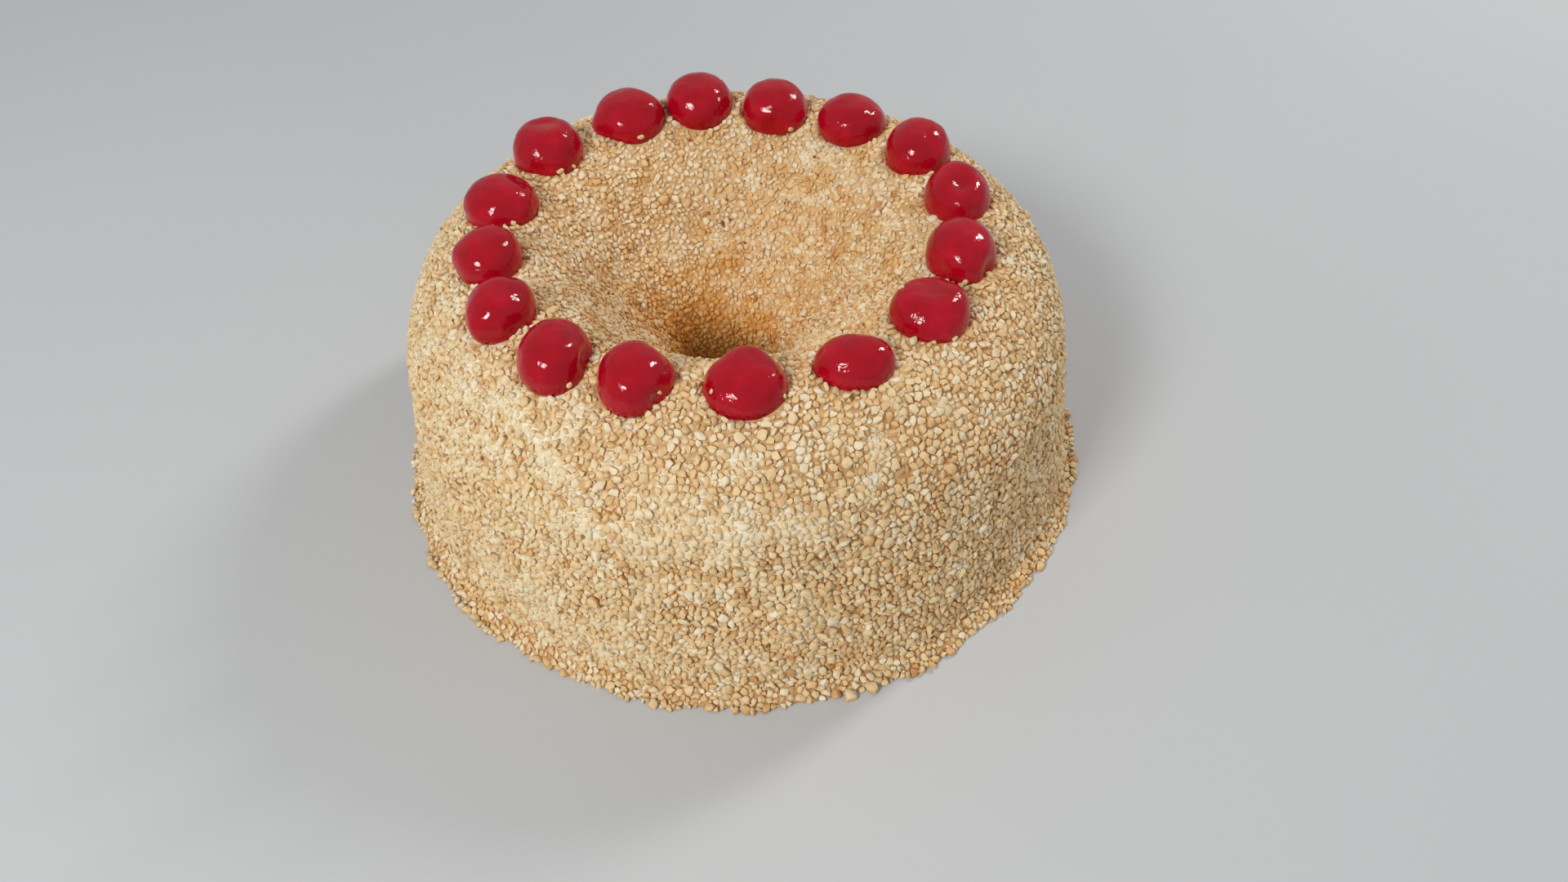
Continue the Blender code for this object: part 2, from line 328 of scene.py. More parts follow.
def floorFinish(name):
    finish = Finish(name)
    stops = [(0.3, linear(196, 198, 200)), (0.7, linear(200, 202, 204))]
    finish.set(Base_Color=finish.ramp(finish.noise(400 * mm, 2.0), stops), Roughness=0.75)
    return finish.material


# Camera and light

cameraLook = {
    "place": Vector((14.8, -303.7, 308.8)) * mm,
    "lookDown": radians(46.17),
    "roll": -0.015,
    "focalPixels": 1442.0,
    "photoWidth": 1920,
}


def addCamera():
    down, roll = cameraLook["lookDown"], cameraLook["roll"]
    right = Vector((1, 0, 0))
    up = Vector((0, sin(down), cos(down)))
    back = Vector((0, -cos(down), sin(down)))
    turnedRight = right * cos(roll) + up * sin(roll)
    turnedUp = up * cos(roll) - right * sin(roll)
    camera = bpy.data.cameras.new("camera")
    camera.sensor_width = 36.0
    camera.lens = camera.sensor_width * cameraLook["focalPixels"] / cameraLook["photoWidth"]
    camera.clip_start = 0.01
    item = bpy.data.objects.new("camera", camera)
    bpy.context.scene.collection.objects.link(item)
    turn = Matrix((turnedRight, turnedUp, back)).transposed()
    item.matrix_world = Matrix.Translation(cameraLook["place"]) @ turn.to_4x4()
    bpy.context.scene.camera = item


lightLook = {
    "windowLeft": dict(place=(-0.57, -0.79, 0.86), size=(0.33, 0.29), power=8.7, colour=(1.0, 0.985, 0.96)),
    "windowRight": dict(place=(0.85, 0.70, 0.95), size=(0.15, 0.40), power=7.1, colour=(1.0, 0.97, 0.94)),
    "sky": (0.96, 0.98, 1.0, 1.0),
    "skyStrength": 0.38,
}


def addLights():
    for name in ("windowLeft", "windowRight"):
        look = lightLook[name]
        light = bpy.data.lights.new(name, "AREA")
        light.shape = "RECTANGLE"
        light.size, light.size_y = look["size"]
        light.energy = look["power"]
        light.color = look["colour"]
        item = bpy.data.objects.new(name, light)
        bpy.context.scene.collection.objects.link(item)
        item.location = look["place"]
        item.rotation_euler = (Vector((0, 0, 0.05)) - item.location).to_track_quat("-Z", "Y").to_euler()
    world = bpy.data.worlds.new("studio")
    world.use_nodes = True
    sky = world.node_tree.nodes["Background"]
    sky.inputs["Color"].default_value = lightLook["sky"]
    sky.inputs["Strength"].default_value = lightLook["skyStrength"]
    bpy.context.scene.world = world
    bpy.context.scene.view_settings.view_transform = "Standard"


def addFloor():
    shape = bmesh.new()
    bmesh.ops.create_grid(shape, x_segments=2, y_segments=2, size=3.0)
    floor = makeObject("floor", meshFrom(shape, "floor"), floorFinish("paleTable"))


# Cake: the iced ring that carries the nuts, with the same section and sway as its solid

def ringSection():
    # From the crest over the wall to the foot, in along the base, then up the neck and the funnel
    look = cakeLook
    crest, top = look["crestRadius"], look["height"]
    wall, shoulder = look["wallRadius"], look["shoulderHeight"]
    foot, skirtTop = look["footRadius"], look["skirtHeight"]
    skirt, edge = look["skirtRadius"], look["edgeHeight"]
    neck, neckTop, bevel = look["neckRadius"], look["neckHeight"], look["neckBevel"]
    crease, creaseTop = look["creaseRadius"], look["creaseHeight"]
    points = [(crest, top)]
    for share in evenSteps(26):
        angle = share * pi / 2
        points.append((crest + (wall - crest) * sin(angle), shoulder + (top - shoulder) * cos(angle)))
    for share in evenSteps(24):
        flare = (foot - wall) * share ** look["wallPower"]
        points.append((wall + flare, shoulder + (skirtTop - shoulder) * share))
    for share in evenSteps(5):
        points.append((foot + (skirt - foot) * share, skirtTop + (edge - skirtTop) * share))
    points.append((skirt, 0.0))
    for share in evenSteps(6):
        points.append((skirt + (neck + bevel - skirt) * share, 0.0))
    points.append((neck, bevel))
    for share in evenSteps(12):
        points.append((neck, bevel + (neckTop - bevel) * share))
    for share in evenSteps(16):
        spread = (crease - neck) * share ** look["neckPower"]
        points.append((neck + spread, neckTop + (creaseTop - neckTop) * share))
    for share in evenSteps(28)[:-1]:
        fall = (top - creaseTop) * (1 - share) ** look["funnelPower"]
        points.append((crease + (crest - crease) * share, top - fall))
    return points


# How much icing shows: everywhere, in patches of two sizes, and on parts of the outside
creamLook = {
    "everywhere": 0.22,
    "patches": 0.20,
    "patchSize": 24 * mm,
    "finePatches": 0.30,
    "finePatchSize": 7 * mm,
    "outside": 0.03,
    "leftFront": 0.18,
    "lowWall": 0.14,
    "leftShoulder": 0.08,
}

# Where it shows white in the photo: middle, how wide and how high, all in mm, and how strongly
creamSpots = [
    ((-9, -103, 66), 7, 3, 0.24), ((8, -104, 66), 9, 3, 0.28), ((23, -102, 64), 8, 3, 0.24),
    ((3, -93, 82), 8, 3, 0.20), ((-41, -79, 85), 5, 5, 0.30), ((-43, -95, 61), 6, 4, 0.22),
    ((-31, -104, 23), 5, 4, 0.22), ((-75, -77, 32), 7, 8, 0.15), ((-81, -66, 62), 8, 8, 0.15),
    ((23, 51, 83), 4, 4, 0.45), ((34, -11, 64), 4, 4, 0.20),
]

# Brown skin and toasted crumbs in the funnel, given the same way
brownSpots = [((-6, 38, 63), 5, 1.2, 0.75), ((18, 39, 71), 3, 1.2, 0.7)]


def spotShare(spots, place):
    share = 0.0
    for middle, wide, high, strength in spots:
        away = (place - Vector(middle) * mm) / mm
        share += strength * bell((away.xy.length / wide) ** 2 + (away.z / high) ** 2)
    return share


def creamAt(place):
    # How much icing shows: most on the front left, least in the funnel and the loose nuts at the foot
    look = creamLook
    patches = noise.noise(place / look["patchSize"] + Vector((2.0, 9.0, 4.0)))
    fine = noise.noise(place / look["finePatchSize"] + Vector((5.0, 1.0, 8.0)))
    outside = smoothShare(place.xy.length, 76 * mm, 96 * mm)
    leftFront = smoothShare(-place.x * 0.92 - place.y * 0.40, -10 * mm, 85 * mm)
    leftShoulder = smoothShare(-place.x, 30 * mm, 75 * mm) * smoothShare(place.z, 58 * mm, 76 * mm)
    lowWall = 1 - smoothShare(place.z, 25 * mm, 55 * mm)
    foot = 1 - smoothShare(place.z, 3 * mm, 9 * mm)
    share = look["everywhere"] + look["patches"] * patches + look["finePatches"] * fine
    share += spotShare(creamSpots, place)
    left = (look["leftFront"] + look["lowWall"] * lowWall) * leftFront * (1 - foot)
    left += look["leftShoulder"] * leftShoulder
    return share + outside * (look["outside"] + left - look["outside"] * foot)


def brownAt(place):
    return spotShare(brownSpots, place)


def fineAt(place):
    # How much finer the nuts are: most in the funnel, less on the shoulder and at the foot
    foot = smoothShare(place.xy.length, 108 * mm, 112 * mm) * (1 - smoothShare(place.z, 4 * mm, 9 * mm))
    left = 0.15 + 0.45 * smoothShare(-place.x, 30 * mm, 90 * mm)
    inner = 1 - smoothShare(place.xy.length, 52 * mm, 98 * mm)
    shoulder = 0.5 * smoothShare(place.z, 50 * mm, 76 * mm)
    return max(inner, shoulder) + left * foot


def markIcing(mesh):
    for name, share in (("creamShare", creamAt), ("fineShare", fineAt), ("brownShare", brownAt)):
        mark(mesh, name, [share(vertex.co) for vertex in mesh.vertices])


def collarAt(place):
    # Icing and nuts pressed up against the cherries' sides
    if place.z < 0.7 * cakeLook["height"]:
        return 0.0
    nearest = min((place - cherryPlace(number)).xy.length for number in range(len(cherries)))
    apart = (nearest - cherryLook["collarRadius"]) / cherryLook["collarWidth"]
    return cherryLook["collarHeight"] * bell(apart * apart)


def makeCore():
    # The ring by spinning its section, then its sway, then its fine relief and where icing shows
    section = ringSection()
    shape = bmesh.new()
    rings = []
    for number in range(cakeLook["aroundSteps"]):
        angle = 2 * pi * number / cakeLook["aroundSteps"]
        ring = []
        for radius, height in section:
            ring.append(shape.verts.new((radius * cos(angle), radius * sin(angle), height)))
        rings.append(ring)
    for first, second in zip(rings, rings[1:] + rings[:1]):
        for low, high in zip(range(len(section)), list(range(1, len(section))) + [0]):
            shape.faces.new((first[low], first[high], second[high], second[low]))
    bmesh.ops.recalc_face_normals(shape, faces=shape.faces)
    shape.normal_update()
    moves = []
    for vertex in shape.verts:
        place = vertex.co.copy()
        fullWidth = cakeLook["crestRadius"] - cakeLook["neckRadius"]
        holeShare = 1 - min(1.0, max(0.0, (place.xy.length - cakeLook["neckRadius"]) / fullWidth))
        move = cakeLook["neckShift"] * holeShare
        if place.z > 0.1 * mm:
            sway = noise.noise(place / cakeLook["swaySize"]) * cakeLook["swayHeight"]
            crumb = noise.noise(place / cakeLook["crumbSize"]) * cakeLook["crumbHeight"]
            depth = cakeLook["underNuts"] * (1 - 0.9 * smoothShare(creamAt(place), 0.30, 0.75))
            rise = (sway + crumb - depth) * smoothShare(place.z, 0.2 * mm, 6 * mm) + collarAt(place)
            move = move + vertex.normal * rise
        moves.append(move)
    for vertex, move in zip(shape.verts, moves):
        vertex.co += move
        vertex.co.z = max(vertex.co.z, 0.0)
    mesh = meshFrom(shape, "icedRing")
    markIcing(mesh)
    return makeObject("icedRing", mesh, icingFinish("icing"))


# Cherries: halves of glace cherries, cut side down, each with its own dents and swellings

cherryLook = {
    "ringRadius": 74.0 * mm,
    "ringCentre": Vector((-1.0 * mm, -0.5 * mm, 0)),
    "baseHeight": 87.2 * mm,
    "collarRadius": 13.0 * mm,
    "collarHeight": 0.9 * mm,
    "collarWidth": 3.2 * mm,
    "startAngle": 120.0,
    "aroundSteps": 72,
    "upSteps": 52,
    "bulge": 1.03,
    "sidePower": 0.75,      # less makes the sides steeper
    "topPower": 0.88,
    "tuckIn": 0.05,         # how much narrower it is at its foot
    "tuckHeight": 0.25,
    "wrinkleHeight": 0.22 * mm,
    "wrinkleSize": 3.4 * mm,
    "deepRed": linear(162, 4, 24),
    "midRed": linear(175, 6, 30),
    "lightRed": linear(192, 11, 40),
}

# turn: degrees from its even place. out: mm from the ring. size: half width, half depth, height in mm.
# forms: swellings, or dents with a minus sign: direction round, angle above the base, spread, mm high
cherries = [
    dict(turn=-0.4, out=0.0, size=(12.4, 13.0, 11.9),
         forms=[(0, 52, 26, 0.6), (212, 12, 22, 1.4), (50, 40, 20, -1.1)]),
    dict(turn=2.1, out=0.2, size=(11.8, 13.0, 12.8),
         forms=[(0, 88, 30, -0.4), (200, 45, 30, 0.6)]),
    dict(turn=3.3, out=-3.5, size=(11.6, 12.2, 12.2),
         forms=[(135, 50, 18, 0.2), (265, 16, 14, -1.5), (318, 18, 22, 1.0)]),
    dict(turn=3.0, out=-1.3, size=(11.7, 12.0, 11.5),
         forms=[(180, 30, 35, 0.6), (20, 60, 28, -0.7)]),
    dict(turn=3.0, out=0.0, size=(11.0, 12.5, 13.2),
         forms=[(5, 52, 22, 0.5), (170, 60, 24, -0.6)]),
    dict(turn=3.4, out=-0.2, size=(10.6, 12.6, 12.1),
         forms=[(270, 74, 15, -1.9), (90, 62, 24, 0.8), (270, 40, 24, 0.9)]),
    dict(turn=1.9, out=-2.0, size=(10.7, 12.5, 13.0),
         forms=[(222, 14, 16, -1.6), (318, 14, 16, -2.0), (270, 20, 22, 0.5)]),
    dict(turn=1.1, out=-1.8, size=(11.5, 12.3, 11.1),
         forms=[(90, 76, 22, -1.4), (10, 45, 26, 0.9), (190, 45, 26, 0.8)]),
    dict(turn=-1.3, out=-1.1, size=(11.4, 9.3, 9.5),
         forms=[(0, 48, 30, 1.3), (180, 34, 30, -0.8), (265, 70, 20, 0.6)]),
    dict(turn=-3.1, out=-1.4, size=(11.6, 11.2, 10.2),
         forms=[(85, 44, 22, 1.6), (332, 50, 17, 1.0), (285, 56, 15, -1.1)]),
    dict(turn=-4.5, out=-0.6, size=(10.3, 12.3, 12.0),
         forms=[(50, 36, 22, -1.0), (5, 18, 20, 1.1), (312, 14, 16, -1.6)]),
    dict(turn=-0.5, out=2.6, size=(10.5, 12.6, 12.3),
         forms=[(348, 20, 20, -2.6), (20, 62, 18, -0.9), (100, 40, 28, 0.2)]),
    dict(turn=1.5, out=2.7, size=(10.0, 11.1, 12.0),
         forms=[(45, 30, 24, 1.0), (235, 16, 20, 1.1), (312, 12, 18, -1.0)]),
    dict(turn=3.6, out=0.3, size=(10.0, 11.6, 11.3),
         forms=[(182, 22, 22, 1.2), (40, 60, 26, 0.4)]),
    dict(turn=4.5, out=0.5, size=(11.6, 12.2, 11.3),
         forms=[(40, 56, 18, -1.7), (180, 30, 30, 0.7)]),
    dict(turn=2.3, out=2.3, size=(11.7, 12.9, 13.3),
         forms=[(90, 80, 15, -1.7), (180, 44, 28, 0.3)]),
]


def cherryPlace(number):
    entry = cherries[number]
    angle = radians(cherryLook["startAngle"] - number * 360 / len(cherries) + entry["turn"])
    reach = cherryLook["ringRadius"] + entry["out"] * mm
    onRing = Vector((reach * cos(angle), reach * sin(angle), cherryLook["baseHeight"]))
    return cherryLook["ringCentre"] + onRing


def aimOf(around, above):
    # The direction at so many degrees round Z and above the level
    level = cos(radians(above))
    return Vector((cos(radians(around)) * level, sin(radians(around)) * level, sin(radians(above))))


def cherryPoint(number, direction):
    # Where the skin lies in one direction from the middle of the cut face
    entry = cherries[number]
    halfWidth, halfDepth, height = [size * mm for size in entry["size"]]
    across = direction.xy.length
    scale = cherryLook["bulge"] * across ** cherryLook["sidePower"] / max(across, 0.0001)
    scale *= 1 - cherryLook["tuckIn"] * max(0.0, 1 - direction.z / cherryLook["tuckHeight"])
    swell = 0.0
    for around, above, spread, rise in entry["forms"]:
        apart = direction.angle(aimOf(around, above)) / radians(spread)
        swell += rise * mm * bell(apart * apart)
    shift = Vector((number * 3.7, number * 1.3, 0))
    fold = noise.noise(direction * (halfWidth / cherryLook["wrinkleSize"]) + shift)
    swell += cherryLook["wrinkleHeight"] * (fold - 0.6 * abs(fold)) * min(1.0, direction.z * 4)
    up = max(direction.z, 0.0) ** cherryLook["topPower"] * height
    place = Vector((direction.x * scale * halfWidth, direction.y * scale * halfDepth, up))
    return place + direction * swell


def makeCherry(number, finish):
    around, upward = cherryLook["aroundSteps"], cherryLook["upSteps"]
    shape = bmesh.new()
    bmesh.ops.create_uvsphere(shape, u_segments=around, v_segments=upward, radius=1.0)
    lower = [vertex for vertex in shape.verts if vertex.co.z < -0.001]
    bmesh.ops.delete(shape, geom=lower, context="VERTS")
    for vertex in shape.verts:
        direction = vertex.co.normalized()
        vertex.co = cherryPoint(number, direction)
        if direction.z < 0.001:
            vertex.co.z = 0.0
    rim = [edge for edge in shape.edges if edge.is_boundary]
    bmesh.ops.holes_fill(shape, edges=rim, sides=0)
    bmesh.ops.recalc_face_normals(shape, faces=shape.faces)
    mesh = meshFrom(shape, "cherryHalf")
    mesh.transform(Matrix.Translation(cherryPlace(number)))
    return makeObject(f"cherryHalf_{number + 1:02d}", mesh, finish)


# Nuts: chopped grains at true size, packed by a Geometry Nodes tree

def chopNut(name, seed, sides, slopes):
    # A block cut to a chip by flat planes: one on top, and a steep and a sloping set round it
    draw = Random(seed)
    cuts = [(Vector((draw.gauss(0, 0.25), draw.gauss(0, 0.25), 1)).normalized(), draw.uniform(0.60, 0.80))]
    for count, low, high, near, far in ((sides, -12, 22, 0.62, 1.0), (slopes, 34, 60, 0.70, 0.86)):
        start = draw.uniform(0, 360)
        for number in range(count):
            around = start + 360 * (number + draw.uniform(-0.3, 0.3)) / count
            cuts.append((aimOf(around, draw.uniform(low, high)), draw.uniform(near, far)))
    shape = bmesh.new()
    bmesh.ops.create_cube(shape, size=2.0)
    for normal, distance in cuts:
        everything = shape.verts[:] + shape.edges[:] + shape.faces[:]
        bmesh.ops.bisect_plane(shape, geom=everything, dist=0.0001, plane_co=normal * distance,
                               plane_no=normal, clear_outer=True)
        rim = [edge for edge in shape.edges if edge.is_boundary]
        bmesh.ops.holes_fill(shape, edges=rim, sides=0)
    bmesh.ops.remove_doubles(shape, verts=shape.verts, dist=0.18)
    places = [vertex.co.copy() for vertex in shape.verts]
    shape.free()
    # Brought to unit length, with its own width and thickness
    sizes = (1.0, draw.uniform(0.50, 0.90), draw.uniform(0.42, 0.56))
    for axis, size in enumerate(sizes):
        low = min(place[axis] for place in places)
        high = max(place[axis] for place in places)
        for place in places:
            place[axis] = ((place[axis] - low) / (high - low) - 0.5) * size
    shape = bmesh.new()
    for place in places:
        shape.verts.new(place)
    hull = bmesh.ops.convex_hull(shape, input=shape.verts)
    bmesh.ops.delete(shape, geom=list({*hull["geom_interior"], *hull["geom_unused"]}), context="VERTS")
    mesh = meshFrom(shape, name)
    mark(mesh, "rise", [0.5 + vertex.co.z / sizes[2] for vertex in mesh.vertices])  # how high on its nut
    return mesh


def shapeBox(name, count, sides, slopes, seed):
    # A collection of different chopped nuts of unit length, for the tree to pick from
    box = bpy.data.collections.new(name)
    for number in range(count):
        mesh = chopNut(f"{name}{number}", seed + number, sides, slopes)
        box.objects.link(bpy.data.objects.new(mesh.name, mesh))
    print("shapes ready:", name)
    return box


class Tree(Nodes):
    # A Geometry Nodes tree that works on points and on the nuts placed at them
    def __init__(self, name, inputs):
        super().__init__(bpy.data.node_groups.new(name, "GeometryNodeTree"))
        sockets = self.tree.interface
        for label, kind in inputs:
            sockets.new_socket(name=label, in_out="INPUT", socket_type=f"NodeSocket{kind}")
        sockets.new_socket(name="Geometry", in_out="OUTPUT", socket_type="NodeSocketGeometry")
        self.given = self.add("NodeGroupInput").outputs
        self.result = self.add("NodeGroupOutput").inputs[0]
        self.position = self.add("GeometryNodeInputPosition").outputs[0]

    def less(self, first, second):
        return self.maths("LESS_THAN", first, second)

    def vector(self, operation, first, second=(0.0, 0.0, 0.0)):
        node = self.add("ShaderNodeVectorMath", {0: first, 1: second}, operation=operation)
        return node.outputs["Value" if operation in ("LENGTH", "DOT_PRODUCT") else "Vector"]

    def scaled(self, vector, share):
        node = self.add("ShaderNodeVectorMath", {0: vector, "Scale": share}, operation="SCALE")
        return node.outputs["Vector"]

    def entry(self, node, name):
        # The input in use, where a node has one of each data type under the same name
        return [socket for socket in node.inputs if socket.enabled and socket.name == name][0]

    def live(self, node, name):
        # The output in use, in the same way
        return [socket for socket in node.outputs if socket.enabled and socket.name == name][0]

    def seed(self, number):
        # Each random draw has its own seed, counted from the one that is given
        return self.maths("ADD", self.given["Seed"], number)

    def randomValue(self, low, high, number):
        node = self.add("FunctionNodeRandomValue", {"Seed": self.seed(number)}, data_type="FLOAT")
        self.join(low, self.entry(node, "Min"))
        self.join(high, self.entry(node, "Max"))
        return self.live(node, "Value")

    def named(self, name, kind="FLOAT"):
        node = self.add("GeometryNodeInputNamedAttribute", {"Name": name}, data_type=kind)
        return self.live(node, "Attribute")

    def store(self, geometry, name, value, kind="FLOAT"):
        node = self.add("GeometryNodeStoreNamedAttribute", data_type=kind, domain="POINT")
        self.join(geometry, node.inputs["Geometry"])
        self.join(name, node.inputs["Name"])
        self.join(value, self.entry(node, "Value"))
        return node.outputs["Geometry"]

    def drop(self, points, selection):
        inputs = {"Geometry": points, "Selection": selection}
        return self.add("GeometryNodeDeleteGeometry", inputs, domain="POINT").outputs[0]

    def dropNear(self, points, others, distance):
        near = self.add("GeometryNodeProximity", {0: others}, target_element="POINTS")
        return self.drop(points, self.less(near.outputs["Distance"], distance))

    def dropInside(self, points, solids, gap):
        # Also what lies nearer than the gap
        near = self.add("GeometryNodeProximity", {0: solids}, target_element="FACES")
        away = self.vector("SUBTRACT", self.position, near.outputs["Position"])
        node = self.add("GeometryNodeSampleNearestSurface", data_type="FLOAT_VECTOR")
        self.join(solids, node.inputs["Mesh"])
        self.join(self.add("GeometryNodeInputNormal").outputs[0], self.entry(node, "Value"))
        facing = self.vector("DOT_PRODUCT", away, self.live(node, "Value"))
        tooNear = self.less(near.outputs["Distance"], gap)
        return self.drop(points, self.maths("MAXIMUM", tooNear, self.less(facing, 0.0)))

    def spots(self, surface, spacing, density, where, seed):
        inputs = {"Mesh": surface, "Selection": where, "Distance Min": spacing, "Density Max": density,
                  "Seed": seed}
        node = self.add("GeometryNodeDistributePointsOnFaces", inputs, distribute_method="POISSON")
        points = self.store(node.outputs["Points"], "lie", node.outputs["Rotation"], "QUATERNION")
        return self.store(points, "outward", node.outputs["Normal"], "FLOAT_VECTOR")

    def moved(self, geometry, offset):
        return self.add("GeometryNodeSetPosition", {"Geometry": geometry, "Offset": offset}).outputs[0]

    def raised(self, geometry, lowest):
        # Whatever is lower than that is brought up to it
        parts = self.add("ShaderNodeSeparateXYZ", {0: self.position}).outputs
        height = self.maths("MAXIMUM", parts["Z"], lowest)
        place = self.add("ShaderNodeCombineXYZ", {0: parts["X"], 1: parts["Y"], 2: height}).outputs[0]
        return self.add("GeometryNodeSetPosition", {"Geometry": geometry, "Position": place}).outputs[0]

    def giveWay(self, nuts, others):
        # Flattens each nut at the plane between it and its nearest neighbour among the others
        near = self.add("GeometryNodeSampleNearest", {"Geometry": others}, domain="POINT").outputs[0]
        middle, reach = self.named("middle", "FLOAT_VECTOR"), self.named("reach")
        otherMiddle = self.sampled(others, self.position, near, "FLOAT_VECTOR")
        otherReach = self.sampled(others, self.named("reach"), near, "FLOAT")
        between = self.vector("SUBTRACT", otherMiddle, middle)
        distance = self.maths("MAXIMUM", self.vector("LENGTH", between), 0.01 * mm)
        towards = self.scaled(between, self.maths("DIVIDE", 1.0, distance))
        share = self.maths("DIVIDE", reach, self.maths("ADD", reach, otherReach))
        along = self.vector("DOT_PRODUCT", self.vector("SUBTRACT", self.position, middle), towards)
        over = self.maths("SUBTRACT", along, self.maths("MULTIPLY", distance, share))
        over = self.maths("ADD", over, self.maths("MULTIPLY", self.named("gap"), 0.5))
        over = self.maths("MULTIPLY", self.maths("MAXIMUM", over, 0.0), self.less(0.1 * mm, distance))
        return self.moved(nuts, self.scaled(towards, self.maths("MULTIPLY", over, -1.0)))

    def sampled(self, geometry, value, index, kind):
        inputs = {"Geometry": geometry, "Index": index}
        node = self.add("GeometryNodeSampleIndex", inputs, data_type=kind, domain="POINT")
        self.join(value, self.entry(node, "Value"))
        return self.live(node, "Value")


def nutGround(core):
    # Where nuts lie: the iced ring, and a band of table round its foot with an uneven edge
    shape = bmesh.new()
    shape.from_mesh(core.data)
    rings = []
    edge = Vector((0, 0, cakeLook["edgeHeight"]))
    for number in range(cakeLook["looseSteps"]):
        angle = 2 * pi * number / cakeLook["looseSteps"]
        around = Vector((cos(angle), sin(angle), 0))
        sway = noise.noise(around * 4.0) + noise.noise(around * 13.0)
        near = cakeLook["skirtRadius"] - 0.6 * mm
        far = cakeLook["looseRadius"] + cakeLook["looseSway"] * sway
        far = max(far, cakeLook["skirtRadius"] + 0.3 * mm)
        rings.append([shape.verts.new(around * radius + edge) for radius in (near, far)])
    for first, second in zip(rings, rings[1:] + rings[:1]):
        shape.faces.new((first[0], first[1], second[1], second[0]))
    mesh = meshFrom(shape, "nutGround")
    markIcing(mesh)
    return mesh


# Bits of nut that stick to the cherries: cherry, direction round it, angle above its base, length in mm
stuckBits = [
    (0, 292, 12, 2.6), (1, 25, 50, 1.1), (1, 318, 41, 1.5), (2, 297, 6, 2.0), (4, 105, 58, 1.0),
    (4, 51, 61, 1.0), (6, 180, 6, 2.4), (6, 269, 10, 2.0), (7, 155, 48, 2.3), (7, 271, 10, 1.8),
    (7, 302, 8, 2.0), (9, 213, 34, 1.5), (9, 335, 16, 1.6), (10, 322, 20, 1.5), (11, 299, 13, 1.8),
    (14, 283, 14, 1.2), (14, 297, 15, 1.9), (15, 297, 10, 2.6), (15, 323, 7, 2.0),
]

# Dark specks in the funnel: place and length in mm
specks = [
    ((-4, 42.6, 70.4), 1.1), ((-7, 30.8, 56.6), 0.8), ((1, 25.8, 49.6), 0.8), ((-11, 38.6, 64.6), 1.0),
]


def chipsMesh(name, chips):
    # chips: seed, steep cuts, sloping cuts, place, turn and length of each
    shape = bmesh.new()
    for seed, sides, slopes, place, turn, length in chips:
        chip = chopNut("chip", seed, sides, slopes)
        chip.transform(Matrix.LocRotScale(place, turn, Vector((length, length, length)) * mm))
        shape.from_mesh(chip)
        bpy.data.meshes.remove(chip)
    return meshFrom(shape, name)


def makeStuckBits(finish):
    draw = Random(31)
    chips = []
    for number, around, above, length in stuckBits:
        direction = aimOf(around, above)
        place = cherryPlace(number) + cherryPoint(number, direction) + direction * (0.12 * length * mm)
        turn = direction.to_track_quat("Z", "Y") @ Quaternion((0, 0, 1), draw.uniform(-pi, pi))
        chips.append((draw.randint(500, 900), 6, 3, place, turn, length))
    return marked(chipsMesh("stuckBits", chips), finish, tone=0.6, rise=0.75, creamShare=0.1)


def makeSpecks(finish):
    chips = []
    for number, (place, length) in enumerate(specks):
        chips.append((900 + number, 5, 2, Vector(place) * mm, None, length))
    return marked(chipsMesh("darkSpecks", chips), finish, tone=0.5, rise=1.0, brownShare=1.0)


def marked(mesh, finish, **values):
    for name, value in values.items():
        mark(mesh, name, [value] * len(mesh.vertices))
    return makeObject(mesh.name, mesh, finish)


# spacing: nearest that two of a size lie. clear: nearest to a larger one. Both, and the lengths, in mm.
# lift: how far a nut's middle stands out, as a share of its length. tilt: in radians, either way
nutSizes = {
    "Large": dict(spacing=3.4, clear=0.0, lengths=(3.7, 5.0), density=1.8e4, lift=0.10, tilt=0.35),
    "Medium": dict(spacing=1.88, clear=2.25, lengths=(2.5, 4.1), density=1.8e6, lift=0.09, tilt=0.50),
    "Small": dict(spacing=1.40, clear=1.45, lengths=(1.8, 3.0), density=1.6e6, lift=0.16, tilt=0.60),
    "Crumb": dict(spacing=1.00, clear=1.15, lengths=(0.8, 1.6), density=6.0e5, lift=0.36, tilt=0.80),
}

nutInputs = [("Surface", "Geometry"), ("Size", "Int")]
for sizeName in nutSizes:
    for label in ("spacing", "clear", "length low", "length high", "density", "lift", "tilt"):
        nutInputs.append((f"{sizeName} {label}", "Float"))
for label in ("Tone low", "Tone high", "Gap low", "Gap high", "Rough size", "Rough depth",
              "Fine share", "Crisp angle", "Cream softens", "Cherry gap"):
    nutInputs.append((label, "Float"))
nutInputs += [("Seed", "Int"), ("Shapes", "Collection"), ("Cherries", "Collection"), ("Finish", "Material")]


# How nuts settle where they are fine or the icing is thick, mostly as shares of their length
settleLook = {
    "icedFrom": 0.30,       # the share above which icing is thick
    "halfLength": 0.5,
    "fineShorter": 0.08,
    "icedLonger": 0.12,
    "icedDeeper": 0.42,
    "fineDeeper": 0.07,
    "liftLow": -0.08,
    "liftHigh": 0.12,
    "floorShare": 0.56,
    "icedGap": 0.5 * mm,
    "fineGap": 0.03 * mm,
    "fineSmooth": 0.3,
}


def iced(tree, strength):
    # How far the icing is thick enough to smear over the nuts, times the strength
    over = tree.maths("SUBTRACT", tree.named("creamShare"), settleLook["icedFrom"])
    return tree.maths("MULTIPLY", tree.maths("MAXIMUM", over, 0.0), strength)


def fine(tree, strength):
    return tree.maths("MULTIPLY", tree.named("fineShare"), strength)


